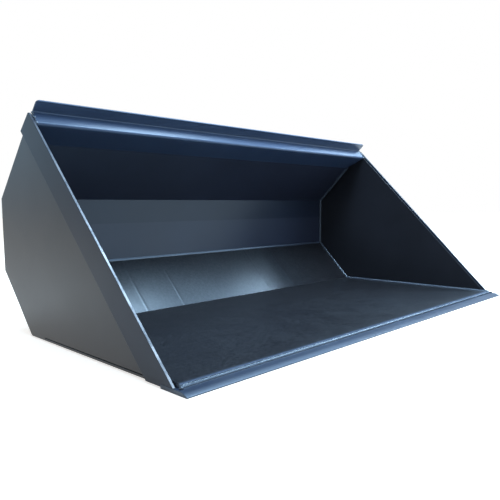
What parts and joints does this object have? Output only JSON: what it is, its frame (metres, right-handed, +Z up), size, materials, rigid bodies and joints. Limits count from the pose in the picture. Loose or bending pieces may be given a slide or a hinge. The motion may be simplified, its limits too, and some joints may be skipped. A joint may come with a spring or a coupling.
{
  "type": "bulk material bucket",
  "caption": "Wide open-mouthed loader bucket of folded plate with a straight cutting edge, side edge bars, a folded top rail and a hook and ledge coupler plate.",
  "frame": {"origin": "on the ground, under the middle of the bucket's bounding box", "axes": "+Z up, +X across the width to the bucket's left side as seen by the loader's driver, -Y towards the cutting edge and the open mouth, +Y towards the loader"},
  "size_m": [2.134, 1.276, 0.8769],
  "materials": {
    "shell_paint": "gloss dark blue-black paint",
    "side_paint": "gloss dark blue-black paint",
    "edge_paint": "gloss dark blue-black paint",
    "wear_paint": "gloss dark blue-black paint",
    "coupler_paint": "gloss dark blue-black paint",
    "seam_paint": "gloss paint over weld beads"
  },
  "bodies": {
    "root": {"floor_sheet": "shell_paint", "back_sheet": "shell_paint", "top_rail": "edge_paint", "cutting_edge": "edge_paint", "side_plate_left": "side_paint", "side_plate_right": "side_paint", "edge_bar_left": "side_paint", "edge_bar_right": "side_paint", "corner_strip_left": "side_paint", "corner_strip_right": "side_paint", "wear_bar_outer_left": "wear_paint", "wear_bar_inner_left": "wear_paint", "wear_bar_inner_right": "wear_paint", "wear_bar_outer_right": "wear_paint", "coupler_plate": "coupler_paint", "coupler_hook": "coupler_paint", "coupler_ledge": "coupler_paint", "coupler_end_left": "coupler_paint", "coupler_end_right": "coupler_paint", "rib_outer_left": "coupler_paint", "rib_inner_left": "coupler_paint", "rib_inner_right": "coupler_paint", "rib_outer_right": "coupler_paint", "side_seam_left": "seam_paint", "side_seam_right": "seam_paint", "back_seam": "seam_paint", "lip_seam": "seam_paint", "edge_bar_seam_left": "seam_paint", "edge_bar_seam_right": "seam_paint", "rail_end_seam_left": "seam_paint", "rail_end_seam_right": "seam_paint", "rail_back_seam": "seam_paint", "coupler_seam_left": "seam_paint", "coupler_seam_right": "seam_paint", "rib_seams": "seam_paint"}
  },
  "joints": []
}
